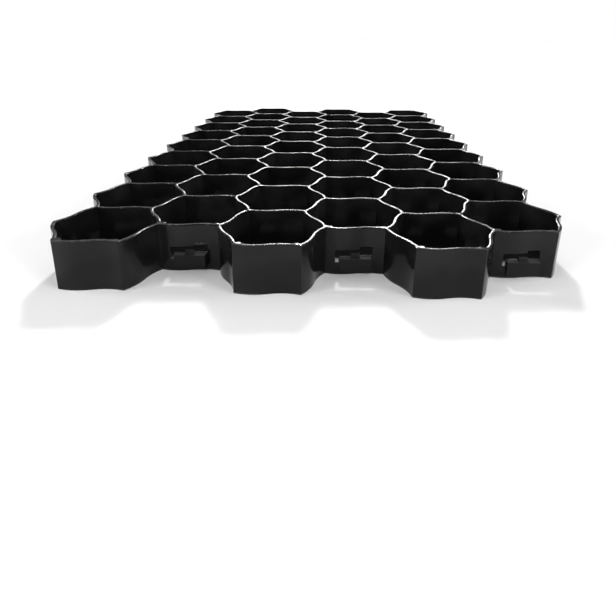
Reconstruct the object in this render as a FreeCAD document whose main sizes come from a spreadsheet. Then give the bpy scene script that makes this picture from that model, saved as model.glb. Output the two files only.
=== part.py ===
import FreeCAD, Part
import Sketcher
import os

# Grass paver grid: one moulded sheet of hexagonal cells whose walls swing
# gently in an S from corner to corner. Millimetres, Z up, the grid lying on
# the XY plane with its long side along Y and its middle over the origin.

doc = FreeCAD.newDocument("grass_paver_grid")

SIZES = (
    ("columns", 6, "cells across the grid"),
    ("rows", 9, "cells along the grid"),
    ("column_pitch", 63.5, "from one column of cells to the next"),
    ("row_pitch", 75, "from one cell to the next in a column"),
    ("cross_wall", 46.6, "length of a wall that lies across the grid"),
    ("cross_wave", 1.75, "how far a cross wall swings to each side of its straight line"),
    ("slant_wave", 1.35, "how far a slanting wall swings to each side"),
    ("wall", 2.4, "thickness of every wall"),
    ("height", 38, "height of the grid"),
    ("post", 5, "diameter of the posts in the front walls"),
    ("post_inset", 2.8, "from a corner along a front wall to its post"),
    ("tongue_width", 24.6, "width of the joining tongue on a set-back wall"),
    ("tongue_depth", 4.5, "how far the tongue stands out of the wall"),
    ("tongue_base", 3.2, "height of the tongue's lower edge"),
    ("tongue_top", 14.3, "height of the tongue's upper face"),
    ("tongue_skin", 1.8, "thickness of the tongue's shell"),
    ("slot_left", 15.2, "reach of the slot to the left of the tongue's middle"),
    ("slot_right", 13.2, "reach of the slot to the right"),
    ("slot_base", 14.6, "height of the slot's lower edge"),
    ("slot_top", 20, "height of the slot's upper edge"),
    ("step_start", 3.5, "where the slot's upper edge steps up"),
    ("step_rise", 2, "how far it steps up"),
    ("leg_width", 2.6, "width of the slot's leg beside the tongue"),
    ("leg_base", 9.5, "height of the leg's lower end"),
    ("catch_width", 7, "width of the catch on the tongue"),
    ("catch_rise", 3, "height of the catch above the tongue"),
    ("catch_back", 0.6, "how far in front of the wall's straight line the catch ends"),
    ("clearance", 0.5, "play round a neighbour's tongue in its window"),
)

sheet = doc.addObject("Spreadsheet::Sheet", "sizes")
for row, (alias, value, note) in enumerate(SIZES, start=1):
    sheet.set("A%d" % row, alias)
    sheet.set("B%d" % row, str(value))
    sheet.set("C%d" % row, note)
    sheet.setAlias("B%d" % row, alias)
doc.recompute()


def size(alias):
    return float(sheet.get(alias))


columns = int(size("columns"))
rows = int(size("rows"))
column_pitch = size("column_pitch")
row_pitch = size("row_pitch")
cross_wall = size("cross_wall")
wall = size("wall")
stagger = row_pitch / 4


def cell_middle(column, row):
    """Middle of a cell. Every second column sits half a cell further back."""
    across = (column - (columns - 1) / 2) * column_pitch
    along = (row - (rows - 1) / 2) * row_pitch
    return FreeCAD.Vector(across, along + (stagger if column % 2 else -stagger), 0)


def cell_corners(middle):
    """The six corners, anticlockwise from the front left one."""
    half = cross_wall / 2
    tip = column_pitch - half
    deep = row_pitch / 2
    offsets = ((-half, -deep), (half, -deep), (tip, 0), (half, deep), (-half, deep), (-tip, 0))
    return [middle + FreeCAD.Vector(x, y, 0) for x, y in offsets]


def wave_wall(start, end, wave):
    """Two arcs from corner to corner: out of the cell first, then into it."""
    outward = FreeCAD.Vector(end.y - start.y, start.x - end.x, 0).normalize() * wave
    middle = (start + end) / 2
    bulge = Part.Arc(start, (start + middle) / 2 + outward, middle)
    dip = Part.Arc(middle, (middle + end) / 2 - outward, end)
    return [bulge.toShape(), dip.toShape()]


def cell_walls(middle):
    """The centre lines of a cell's six walls."""
    corners = cell_corners(middle)
    waves = (size("cross_wave"), size("slant_wave"), size("slant_wave")) * 2
    return [wave_wall(*ends) for ends in zip(corners, corners[1:] + corners[:1], waves)]


def neighbours(column, row):
    """The cell across each wall, in the order of cell_walls."""
    ahead = row if column % 2 else row - 1
    return (
        (column, row - 1),
        (column + 1, ahead),
        (column + 1, ahead + 1),
        (column, row + 1),
        (column - 1, ahead + 1),
        (column - 1, ahead),
    )


def grid_outline(cells):
    """The centre line round the whole grid: the walls with a cell on one side only."""
    edges = []
    for cell in cells:
        for arcs, beyond in zip(cell_walls(cell_middle(*cell)), neighbours(*cell)):
            if beyond not in cells:
                edges += arcs
    return Part.Wire(Part.__sortEdges__(edges))


def feature(name, shape):
    made = doc.addObject("Part::Feature", name)
    made.Shape = shape
    return made


def extrusion(name, section):
    made = doc.addObject("Part::Extrusion", name)
    made.Base = section
    made.DirMode = "Custom"
    made.Dir = FreeCAD.Vector(0, 0, 1)
    made.Solid = True
    made.setExpression("LengthFwd", "sizes.height")
    return made


def body(name):
    return doc.addObject("PartDesign::Body", name)


def origin_plane(owner, role):
    return [item for item in owner.Origin.OriginFeatures if item.Role == role][0]


def profile(owner, name, plane, offset, points):
    """A closed sketch through points, each two expressions, across and up from the offset place."""
    made = owner.newObject("Sketcher::SketchObject", name)
    made.AttachmentSupport = (origin_plane(owner, plane), [""])
    made.MapMode = "FlatFace"
    for axis, expression in zip("xyz", offset):
        made.setExpression("AttachmentOffset.Base." + axis, expression)
    doc.recompute()
    values = [[sheet.evalExpression(part) for part in point] for point in points]
    places = [FreeCAD.Vector(float(across), float(up), 0) for across, up in values]
    for place, following in zip(places, places[1:] + places[:1]):
        made.addGeometry(Part.LineSegment(place, following))
    for i, place in enumerate(places):
        made.addConstraint(Sketcher.Constraint("Coincident", i, 2, (i + 1) % len(places), 1))
        across = made.addConstraint(Sketcher.Constraint("DistanceX", -1, 1, i, 1, place.x))
        up = made.addConstraint(Sketcher.Constraint("DistanceY", -1, 1, i, 1, place.y))
        made.setExpression("Constraints[%d]" % across, points[i][0])
        made.setExpression("Constraints[%d]" % up, points[i][1])
    doc.recompute()
    return made


def rectangle(left, right, base, top):
    return ((left, base), (right, base), (right, top), (left, top))


def pad(owner, name, sketch, length, other_length):
    """A pad to both sides of its sketch."""
    made = owner.newObject("PartDesign::Pad", name)
    made.Profile = sketch
    made.SideType = "Two sides"
    made.setExpression("Length", length)
    made.setExpression("Length2", other_length)
    return made


def along_columns(owner, name, features):
    """Repeats features in every second column of cells."""
    made = owner.newObject("PartDesign::LinearPattern", name)
    made.Originals = features
    made.Direction = (origin_plane(owner, "X_Axis"), [""])
    owner.Tip = made
    made.setExpression("Length", "2 * sizes.column_pitch * (floor(sizes.columns / 2) - 1)")
    made.setExpression("Occurrences", "floor(sizes.columns / 2)")
    return made


def cut(name, base, tool):
    made = doc.addObject("Part::Cut", name)
    made.Base = base
    made.Tool = tool
    return made


def fuse(name, parts):
    made = doc.addObject("Part::MultiFuse", name)
    made.Shapes = parts
    return made


# The sheet of cells: its section is cut by one opening for each cell, whose
# sides stay half a wall away from the centre lines.
cells = [(column, row) for column in range(columns) for row in range(rows)]
centre_line = Part.Wire([arc for arcs in cell_walls(FreeCAD.Vector()) for arc in arcs])
opening = Part.Face(centre_line.makeOffset2D(-wall / 2))


def post_places(column, row):
    """Middles of the round posts, at both ends of a wall that closes the front."""
    if row > 0:
        return []
    front_left, front_right = cell_corners(cell_middle(column, row))[:2]
    inset = FreeCAD.Vector(size("post_inset"), 0, 0)
    inward = FreeCAD.Vector(0, wall / 2, 0)
    return [front_left + inset + inward, front_right - inset + inward]


def opening_at(cell):
    """The opening of a cell, less its posts."""
    face = opening.copy()
    face.translate(cell_middle(*cell))
    for place in post_places(*cell):
        face = face.cut(Part.Face(Part.Wire(Part.makeCircle(size("post") / 2, place)))).Faces[0]
    return face


outer = grid_outline(cells).makeOffset2D(wall / 2)
holes = [opening_at(cell).OuterWire for cell in cells]
section = feature("grid_section", Part.makeFace([outer] + holes, "Part::FaceMakerBullseye"))
walls = extrusion("cell_walls", section)

# Everything below repeats in every second column, from the first set-back
# one. Its sketches are measured from the middle of that column's front wall
# or back wall, on the wall's straight line.
FIRST_COLUMN = "(1 - (sizes.columns - 1) / 2) * sizes.column_pitch"
FRONT_LINE = "(1 / 4 - sizes.rows / 2) * sizes.row_pitch"
BACK_LINE = "(sizes.rows / 2 + 1 / 4) * sizes.row_pitch"
SWING = "sizes.cross_wave + sizes.wall / 2"
FACE = "sizes.wall / 2 + sizes.tongue_depth"
HALF_TONGUE = "sizes.tongue_width / 2"

# The tongue on each set-back wall of the front: a shell open underneath, with
# a catch like a wedge on its upper face.
tongue = body("tongue")
front_of_wall = (FIRST_COLUMN, "0", "-(%s)" % FRONT_LINE)
tongue_outline = profile(tongue, "tongue_outline", "XZ_Plane", front_of_wall, rectangle(
    "-" + HALF_TONGUE, HALF_TONGUE, "sizes.tongue_base", "sizes.tongue_top"))
tongue_pad = pad(tongue, "tongue_pad", tongue_outline, FACE, "sizes.cross_wave")

hollow_outline = profile(
    tongue, "hollow_outline", "XY_Plane", (FIRST_COLUMN, FRONT_LINE, "sizes.tongue_base"), rectangle(
        "sizes.tongue_skin - " + HALF_TONGUE, HALF_TONGUE + " - sizes.tongue_skin",
        "sizes.tongue_skin - (%s)" % FACE, "sizes.cross_wave"))
hollow = tongue.newObject("PartDesign::Pocket", "hollow")
hollow.Profile = hollow_outline
hollow.Reversed = True
hollow.setExpression("Length", "sizes.tongue_top - sizes.tongue_skin - sizes.tongue_base")

catch_outline = profile(tongue, "catch_outline", "YZ_Plane", (FRONT_LINE, "0", FIRST_COLUMN), (
    ("-(%s)" % FACE, "sizes.tongue_top"),
    ("-(%s)" % FACE, "sizes.tongue_top - sizes.tongue_skin"),
    ("-sizes.catch_back", "sizes.tongue_top - sizes.tongue_skin"),
    ("-sizes.catch_back", "sizes.tongue_top + sizes.catch_rise")))
catch_pad = pad(tongue, "catch_pad", catch_outline, "sizes.catch_width / 2", "sizes.catch_width / 2")
tongues = along_columns(tongue, "tongues", [tongue_pad, hollow, catch_pad])

# The slot above each tongue: its upper edge steps up on the right, and a leg
# runs down beside the tongue on the left.
slot = body("slot")
slot_outline = profile(slot, "slot_outline", "XZ_Plane", front_of_wall, (
    ("-sizes.slot_left", "sizes.slot_top"),
    ("-sizes.slot_left", "sizes.leg_base"),
    ("sizes.leg_width - sizes.slot_left", "sizes.leg_base"),
    ("sizes.leg_width - sizes.slot_left", "sizes.slot_base"),
    ("sizes.slot_right", "sizes.slot_base"),
    ("sizes.slot_right", "sizes.slot_top + sizes.step_rise"),
    ("sizes.step_start", "sizes.slot_top + sizes.step_rise"),
    ("sizes.step_start", "sizes.slot_top")))
slot_pad = pad(slot, "slot_pad", slot_outline, SWING, SWING)
slots = along_columns(slot, "slots", [slot_pad])

# The window in each wall that stands out along the back, with room for a
# neighbour's tongue and catch.
window = body("window")
window_outline = profile(
    window, "window_outline", "XZ_Plane", (FIRST_COLUMN, "0", "-(%s)" % BACK_LINE), rectangle(
        "-%s - sizes.clearance" % HALF_TONGUE, HALF_TONGUE + " + sizes.clearance",
        "sizes.tongue_base - sizes.clearance",
        "sizes.tongue_top + sizes.catch_rise + sizes.clearance"))
window_pad = pad(window, "window_pad", window_outline, SWING, SWING)
windows = along_columns(window, "windows", [window_pad])

# A tongue starts inside its wall, and what would stand through the wall into
# the cell behind is cut away.
behind = Part.makeCompound([opening_at((column, 0)) for column in range(1, columns, 2)])
cells_behind = extrusion("cells_behind", feature("cells_behind_section", behind))
trimmed = cut("trimmed_tongues", tongue, cells_behind)
pierced = cut("pierced_walls", walls, fuse("slots_and_windows", [slot, window]))
grid = fuse("paver_grid", [pierced, trimmed])
doc.recompute()

for item in doc.Objects:
    if "Invalid" in item.State or "Error" in item.State:
        raise RuntimeError("object %s does not build" % item.Name)
if grid.Shape.isNull() or not grid.Shape.isValid() or len(grid.Shape.Solids) != 1:
    raise RuntimeError("the grid is not one sound solid")

os.makedirs("parts", exist_ok=True)
grid.Shape.exportStep("parts/paver_grid.step")
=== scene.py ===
import math
import bpy
from mathutils import Matrix, Vector


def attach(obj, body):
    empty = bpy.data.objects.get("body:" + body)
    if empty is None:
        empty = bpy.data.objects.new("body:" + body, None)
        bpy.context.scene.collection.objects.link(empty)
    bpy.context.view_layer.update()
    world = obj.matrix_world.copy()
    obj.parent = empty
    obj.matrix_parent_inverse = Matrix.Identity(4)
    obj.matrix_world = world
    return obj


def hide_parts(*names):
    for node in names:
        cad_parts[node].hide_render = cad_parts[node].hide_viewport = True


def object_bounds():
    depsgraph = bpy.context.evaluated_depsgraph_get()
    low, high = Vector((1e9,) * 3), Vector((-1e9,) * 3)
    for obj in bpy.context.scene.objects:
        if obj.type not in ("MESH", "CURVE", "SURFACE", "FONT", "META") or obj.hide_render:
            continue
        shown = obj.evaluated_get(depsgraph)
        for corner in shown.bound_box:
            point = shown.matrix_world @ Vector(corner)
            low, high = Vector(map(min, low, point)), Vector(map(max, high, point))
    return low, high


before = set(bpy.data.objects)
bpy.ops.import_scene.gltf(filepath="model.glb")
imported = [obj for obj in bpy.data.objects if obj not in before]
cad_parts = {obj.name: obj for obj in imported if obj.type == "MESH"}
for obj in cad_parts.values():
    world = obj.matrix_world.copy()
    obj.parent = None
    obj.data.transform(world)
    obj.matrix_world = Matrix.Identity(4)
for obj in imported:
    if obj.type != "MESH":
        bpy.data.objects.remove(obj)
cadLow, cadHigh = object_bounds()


def selectOnly(piece):
    bpy.ops.object.select_all(action="DESELECT")
    piece.select_set(True)
    bpy.context.view_layer.objects.active = piece


# picks faces by number and stays in edit mode for the operator that follows
def editFaces(mesh, chosen):
    bpy.ops.object.mode_set(mode="EDIT")
    bpy.ops.mesh.select_mode(type="FACE")
    bpy.ops.mesh.select_all(action="DESELECT")
    bpy.ops.object.mode_set(mode="OBJECT")
    for index in chosen:
        mesh.polygons[index].select = True
    bpy.ops.object.mode_set(mode="EDIT")


def applyModifier(piece, kind, **values):
    modifier = piece.modifiers.new(kind.title(), kind)
    for name, value in values.items():
        setattr(modifier, name, value)
    selectOnly(piece)
    bpy.ops.object.modifier_apply(modifier=modifier.name)


# the moulded sheet with its sharp edges eased; lengths in metres
grid = {
    "mergeDistance": 0.0002,
    "upright": 0.5,                 # a face with less of its normal along Z is part of a wall
    "flatAngle": math.radians(0.3),
    "edgeWidth": 0.0002,            # how far the edges are rounded
    "edgeSegments": 2,
    "edgeAngle": math.radians(50),
    "smoothAngle": math.radians(45),
    "level": 0.99,                  # a face with more of its normal along Z lies level
    "eased": 0.05,                  # one between this and level is part of a rounded edge
    "rimReach": 0.0001,             # rims lie this close to the top or the underside
    "normalWeight": 60,
}


def makeGrid():
    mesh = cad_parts["paver_grid"].data.copy()
    piece = bpy.data.objects.new("wavyGrid", mesh)
    bpy.context.scene.collection.objects.link(piece)
    selectOnly(piece)
    bpy.ops.object.mode_set(mode="EDIT")
    bpy.ops.mesh.select_all(action="SELECT")
    bpy.ops.mesh.remove_doubles(threshold=grid["mergeDistance"])
    bpy.ops.mesh.customdata_custom_splitnormals_clear()
    bpy.ops.object.mode_set(mode="OBJECT")

    # walls only: the rims keep their narrow triangles
    editFaces(mesh, [face.index for face in mesh.polygons if abs(face.normal.z) < grid["upright"]])
    bpy.ops.mesh.dissolve_limited(angle_limit=grid["flatAngle"])
    bpy.ops.object.mode_set(mode="OBJECT")
    applyModifier(
        piece, "BEVEL", width=grid["edgeWidth"], segments=grid["edgeSegments"],
        limit_method="ANGLE", angle_limit=grid["edgeAngle"], use_clamp_overlap=False, harden_normals=False)
    for vertex in mesh.vertices:                 # the easing may not reach past the moulding
        vertex.co = [min(max(value, least), most) for value, least, most in zip(vertex.co, cadLow, cadHigh)]
    selectOnly(piece)
    bpy.ops.object.shade_smooth_by_angle(angle=grid["smoothAngle"])

    # the walls stay flat, and the narrow rims catch the light as if they were rounded over
    top = max(vertex.co.z for vertex in mesh.vertices)
    kinds = {"WEAK": [], "MEDIUM": [], "STRONG": []}
    for face in mesh.polygons:
        slope = abs(face.normal.z)
        inside = grid["rimReach"] < face.center.z < top - grid["rimReach"]
        rim = slope > grid["level"] and not inside
        eased = grid["eased"] < slope <= grid["level"]
        kinds["WEAK" if rim else "MEDIUM" if eased else "STRONG"].append(face.index)
    for kind, faces in kinds.items():
        editFaces(mesh, faces)
        bpy.ops.mesh.mod_weighted_strength(set=True, face_strength=kind)
        bpy.ops.object.mode_set(mode="OBJECT")
    applyModifier(
        piece, "WEIGHTED_NORMAL", keep_sharp=True, weight=grid["normalWeight"], use_face_influence=True)
    return piece


wavyGrid = makeGrid()
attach(wavyGrid, "root")
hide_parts("paver_grid")
print("grid modelled:", len(wavyGrid.data.polygons), "faces")


def addNode(tree, kind, values={}, links={}, **attributes):
    node = tree.nodes.new("ShaderNode" + kind)
    for name, value in attributes.items():
        setattr(node, name, value)
    for name, value in values.items():
        node.inputs[name].default_value = value
    for name, source in links.items():
        tree.links.new(source, node.inputs[name])
    return node


# turns low..high into outLow..outHigh, softly at both ends
def remap(tree, source, low, high, outLow=0.0, outHigh=1.0):
    node = addNode(
        tree, "MapRange", {"From Min": low, "From Max": high, "To Min": outLow, "To Max": outHigh},
        {"Value": source}, interpolation_type="SMOOTHSTEP")
    return node.outputs["Result"]


def combine(tree, operation, first, second):
    node = addNode(tree, "Math", operation=operation)
    for i, part in enumerate((first, second)):
        if isinstance(part, (int, float)):
            node.inputs[i].default_value = part
        else:
            tree.links.new(part, node.inputs[i])
    return node.outputs[0]


# fine grain for plastic and paper: an uneven surface at two sizes
grainLook = {
    "scale": 400.0,
    "coarse": 0.5,                  # how much of the broad unevenness is added
    "broadShare": 0.12,             # its scale, as a share of the fine one
    "fineDetail": 3.0,
    "broadDetail": 2.0,
    "roughness": 0.6,
}


def makeGrain():
    tree = bpy.data.node_groups.new("fineGrain", "ShaderNodeTree")
    for label, default in (("Scale", grainLook["scale"]), ("Coarse", grainLook["coarse"])):
        socket = tree.interface.new_socket(name=label, in_out="INPUT", socket_type="NodeSocketFloat")
        socket.default_value = default
    tree.interface.new_socket(name="Vector", in_out="INPUT", socket_type="NodeSocketVector")
    tree.interface.new_socket(name="Height", in_out="OUTPUT", socket_type="NodeSocketFloat")
    enter = tree.nodes.new("NodeGroupInput")
    leave = tree.nodes.new("NodeGroupOutput")
    fine = addNode(tree, "TexNoise", {"Detail": grainLook["fineDetail"], "Roughness": grainLook["roughness"]},
                   {"Vector": enter.outputs["Vector"], "Scale": enter.outputs["Scale"]})
    broad = addNode(tree, "TexNoise", {"Detail": grainLook["broadDetail"]},
                    {"Vector": enter.outputs["Vector"],
                     "Scale": combine(tree, "MULTIPLY", enter.outputs["Scale"], grainLook["broadShare"])})
    coarse = combine(tree, "MULTIPLY", broad.outputs["Fac"], enter.outputs["Coarse"])
    tree.links.new(combine(tree, "ADD", fine.outputs["Fac"], coarse), leave.inputs["Height"])
    return tree


fineGrain = makeGrain()


def addGrain(tree, place, scale):
    grain = addNode(tree, "Group", node_tree=fineGrain)
    grain.inputs["Scale"].default_value = scale
    tree.links.new(place, grain.inputs["Vector"])
    return grain.outputs["Height"]


plastic = {
    "deepBlack": (0.0025, 0.0025, 0.0027, 1.0),
    "worn": (0.016, 0.016, 0.017, 1.0),
    "dustAndHighlight": (0.13, 0.127, 0.120, 1.0),
    "gloss": 0.08,
    "dull": 0.18,
    "specular": 0.225,
    "grainScale": 900.0,
    "grainHeight": 0.00003,
    "grainStrength": 0.5,
    # melt flow: long soft marks that run up the walls
    "flowScale": 70.0,
    "flowStretch": (1.0, 1.0, 0.12),
    "flowDetail": 2.0,
    "flowRoughness": 0.45,
    "flowRange": (0.3, 0.7),
    "streakHeight": 0.0005,
    "streakStrength": 0.6,
    # broad patches, a little greyer and duller
    "patchScale": 26.0,
    "patchDetail": 3.0,
    "patchColorRange": (0.35, 0.75),
    "patchColor": 0.25,
    "patchDullRange": (0.3, 0.7),
    "patchDull": 0.06,
    # rubbed and nicked rims
    "rimBand": (0.0368, 0.0379),    # from the wall below to the worn edge
    "chipScale": 330.0,
    "chipDetail": 2.0,
    "rubbedRange": (0.46, 0.62),
    "rubbedColor": 0.8,
    "nickRange": (0.60, 0.53),
    "nickDepth": 0.0005,
    # lighter foot: dust, and a painted highlight line along the bottom edge
    "footBand": (0.0016, 0.0002),
    "dustAndHighlightRange": (0.40, 0.65),
    "dustAndHighlightShare": 0.35,
    # level ledges below the rims
    "ledgeFacing": (0.6, 0.9),
    "ledgeBand": (0.030, 0.022),
    "mattLedge": 0.80,
}


def makePlastic():
    material = bpy.data.materials.new("blackMouldedPlastic")
    material.use_nodes = True
    tree = material.node_tree
    shader = tree.nodes["Principled BSDF"]
    place = addNode(tree, "TexCoord").outputs["Object"]
    height = addNode(tree, "SeparateXYZ", links={"Vector": place}).outputs["Z"]
    drawn = addNode(tree, "Mapping", {"Scale": plastic["flowStretch"]}, {"Vector": place}).outputs["Vector"]
    flow = addNode(tree, "TexNoise", {"Scale": plastic["flowScale"], "Detail": plastic["flowDetail"],
                                      "Roughness": plastic["flowRoughness"]},
                   {"Vector": drawn}).outputs["Fac"]
    patches = addNode(tree, "TexNoise", {"Scale": plastic["patchScale"], "Detail": plastic["patchDetail"]},
                      {"Vector": place}).outputs["Fac"]
    chips = addNode(tree, "TexNoise", {"Scale": plastic["chipScale"], "Detail": plastic["chipDetail"]},
                    {"Vector": place}).outputs["Fac"]

    # the top edge is rubbed grey in places, and the foot is lighter in places: dust and a painted highlight
    # along the bottom edge
    top = remap(tree, height, *plastic["rimBand"])
    rubbed = combine(tree, "MULTIPLY", top, remap(tree, chips, *plastic["rubbedRange"]))
    foot = remap(tree, height, *plastic["footBand"])
    dustAndHighlightMask = combine(tree, "MULTIPLY", foot, remap(tree, patches, *plastic["dustAndHighlightRange"]))
    grey = combine(tree, "MULTIPLY", remap(tree, patches, *plastic["patchColorRange"]), plastic["patchColor"])
    wornShare = combine(tree, "MAXIMUM", combine(tree, "MULTIPLY", rubbed, plastic["rubbedColor"]), grey)
    wornColor = addNode(tree, "Mix", {"A": plastic["deepBlack"], "B": plastic["worn"]}, data_type="RGBA")
    tree.links.new(wornShare, wornColor.inputs["Factor"])
    # dust and painted highlight: a lighter colour mixed in along the foot
    color = addNode(tree, "Mix", {"B": plastic["dustAndHighlight"]}, data_type="RGBA")
    tree.links.new(wornColor.outputs["Result"], color.inputs["A"])
    tree.links.new(combine(tree, "MULTIPLY", dustAndHighlightMask, plastic["dustAndHighlightShare"]), color.inputs["Factor"])
    tree.links.new(color.outputs["Result"], shader.inputs["Base Color"])

    # ledges and tongue tops keep the mould's matt skin, as nothing rubs them
    normal = addNode(tree, "NewGeometry").outputs["Normal"]
    facing = addNode(tree, "SeparateXYZ", links={"Vector": normal}).outputs["Z"]
    ledge = combine(tree, "MULTIPLY", remap(tree, facing, *plastic["ledgeFacing"]),
                    remap(tree, height, *plastic["ledgeBand"]))
    rough = remap(tree, flow, *plastic["flowRange"], plastic["gloss"], plastic["dull"])
    patchDull = combine(
        tree, "MULTIPLY", remap(tree, patches, *plastic["patchDullRange"]), plastic["patchDull"])
    rough = combine(tree, "ADD", rough, patchDull)
    rough = combine(tree, "ADD", rough, combine(tree, "MULTIPLY", ledge, plastic["mattLedge"]))
    tree.links.new(rough, shader.inputs["Roughness"])

    # grain, then flow marks, then nicks in the rims
    fine = addNode(tree, "Bump", {"Distance": plastic["grainHeight"], "Strength": plastic["grainStrength"]},
                   {"Height": addGrain(tree, place, plastic["grainScale"])})
    waves = addNode(
        tree, "Bump", {"Distance": plastic["streakHeight"], "Strength": plastic["streakStrength"]},
        {"Height": flow, "Normal": fine.outputs["Normal"]})
    notched = combine(tree, "MULTIPLY", top, remap(tree, chips, *plastic["nickRange"]))
    nicks = addNode(tree, "Bump", {"Distance": plastic["nickDepth"], "Strength": 1.0},
                    {"Height": notched, "Normal": waves.outputs["Normal"]})
    tree.links.new(nicks.outputs["Normal"], shader.inputs["Normal"])
    shader.inputs["Specular IOR Level"].default_value = plastic["specular"]
    return material


wavyGrid.data.materials.clear()
wavyGrid.data.materials.append(makePlastic())
print("plastic made")


paleSheet = {
    "size": 60.0,
    "color": (0.68, 0.68, 0.68, 1.0),
    "specular": 0.0,
    "grainScale": 600.0,
    "grainRange": (0.2, 1.2),
    "roughness": (0.86, 0.94),
}


def makeFloor():
    bpy.ops.object.select_all(action="DESELECT")
    bpy.ops.mesh.primitive_plane_add(size=paleSheet["size"])
    floor = bpy.context.object
    floor.name = "paleFloor"
    material = bpy.data.materials.new("palePaper")
    material.use_nodes = True
    tree = material.node_tree
    shader = tree.nodes["Principled BSDF"]
    grain = addGrain(tree, addNode(tree, "TexCoord").outputs["Object"], paleSheet["grainScale"])
    rough = remap(tree, grain, *paleSheet["grainRange"], *paleSheet["roughness"])
    tree.links.new(rough, shader.inputs["Roughness"])
    shader.inputs["Base Color"].default_value = paleSheet["color"]
    shader.inputs["Specular IOR Level"].default_value = paleSheet["specular"]
    floor.data.materials.append(material)


sky = {
    "color": (1.0, 1.0, 1.0, 1.0),
    "light": 0.16,                  # soft light from low down, so the cells stay deep
    "lightBand": (0.50, 0.30),
    "glowLow": 0.30,                # what the gloss mirrors near the horizon and overhead
    "glowHigh": 2.5,
    "glowBand": (0.45, 0.75),
}


def makeSky():
    world = bpy.data.worlds.new("softSky")
    bpy.context.scene.world = world
    world.use_nodes = True
    tree = world.node_tree
    background = tree.nodes["Background"]
    background.inputs["Color"].default_value = sky["color"]
    toward = addNode(tree, "TexCoord").outputs["Generated"]
    up = addNode(tree, "SeparateXYZ", links={"Vector": toward}).outputs["Z"]
    dome = remap(tree, up, *sky["glowBand"], sky["glowLow"], sky["glowHigh"])
    ray = addNode(tree, "LightPath")
    # the floor gets none of the glow by way of the walls, so the shade in the cells stays dark
    direct = combine(tree, "LESS_THAN", ray.outputs["Diffuse Depth"], 1)
    mirrored = combine(tree, "MULTIPLY", ray.outputs["Is Glossy Ray"], direct)
    glossy = combine(tree, "MULTIPLY", mirrored, dome)
    lit = combine(tree, "MAXIMUM", glossy, remap(tree, up, *sky["lightBand"], 0.0, sky["light"]))
    tree.links.new(combine(tree, "MAXIMUM", lit, ray.outputs["Is Camera Ray"]), background.inputs["Strength"])


lights = {
    "lowPower": 1.6,
    "lowSpread": math.radians(18),
    "lowHeight": math.radians(16),
    "lowSides": (-8, 22, 38, 142, 158, 188),   # degrees from the right, by way of the front
    "highPower": 2.1,
    "highSpread": math.radians(6),
    "high": (                       # each lights part of a cell's floor, and the slots look between the two
        ("highBackLight", 1, math.radians(35.5)),
        ("highFrontLight", -1, math.radians(34)),
    ),
    "boxBehind": 2.6,
    "boxAim": (0.1, 0.03),
    "boxes": (                      # name, aside, height, width, size, glow
        ("upperSoftbox", 0.125, 1.035, 1.55, 0.40, 26.0),
        ("lowerLeftSoftbox", -0.33, 0.635, 0.66, 0.45, 8.0),
        ("lowerRightSoftbox", 0.55, 0.635, 0.66, 0.45, 8.0),
    ),
}


def addLight(name, kind, place, aim, power, **values):
    data = bpy.data.lights.new(name, kind)
    data.energy = power
    for key, value in values.items():
        setattr(data, key, value)
    light = bpy.data.objects.new(name, data)
    bpy.context.scene.collection.objects.link(light)
    light.location = place
    light.rotation_euler = (Vector(aim) - Vector(place)).to_track_quat("-Z", "Y").to_euler()
    light.visible_camera = False
    return light


def makeLights():
    for side in lights["lowSides"]:
        turn = math.radians(side)
        addLight("lowLight%d" % side, "SUN", (math.cos(turn), -math.sin(turn), math.tan(lights["lowHeight"])),
                 (0, 0, 0), lights["lowPower"], angle=lights["lowSpread"])
    for name, toward, rise in lights["high"]:
        light = addLight(name, "SUN", (0, toward, math.tan(rise)), (0, 0, 0), lights["highPower"],
                         angle=lights["highSpread"])
        light.visible_glossy = toward > 0        # the front one leaves no glare on the walls
    for name, aside, up, width, tall, glow in lights["boxes"]:
        addLight(name, "AREA", (aside, lights["boxBehind"], up), (aside, *lights["boxAim"]),
                 glow * math.pi * width * tall, shape="RECTANGLE", size=width, size_y=tall)


camera = {
    "place": (0.00722, -0.6883, 0.1735),
    "pitch": math.radians(19.43),
    "yaw": math.radians(-1.705),
    "roll": math.radians(-0.614),
    "focalPixels": 520.9,
    "middlePixel": (309.1, 220.0),
    "imagePixels": 616,
    "sensor": 36.0,
    "clip": (0.01, 100),
}


def makeCamera():
    data = bpy.data.cameras.new("photoView")
    pixels = camera["imagePixels"]
    data.sensor_width = camera["sensor"]
    data.lens = camera["focalPixels"] * camera["sensor"] / pixels
    data.shift_x = (pixels / 2 - camera["middlePixel"][0]) / pixels
    data.shift_y = (camera["middlePixel"][1] - pixels / 2) / pixels
    data.clip_start, data.clip_end = camera["clip"]
    viewer = bpy.data.objects.new("photoView", data)
    bpy.context.scene.collection.objects.link(viewer)
    turn = (Matrix.Rotation(-camera["yaw"], 3, "Z")
            @ Matrix.Rotation(math.pi / 2 - camera["pitch"], 3, "X")
            @ Matrix.Rotation(-camera["roll"], 3, "Z"))
    viewer.matrix_world = Matrix.Translation(camera["place"]) @ turn.to_4x4()
    bpy.context.scene.camera = viewer


makeFloor()
makeSky()
makeLights()
makeCamera()
bpy.context.scene.view_settings.view_transform = "Standard"
print("studio set")
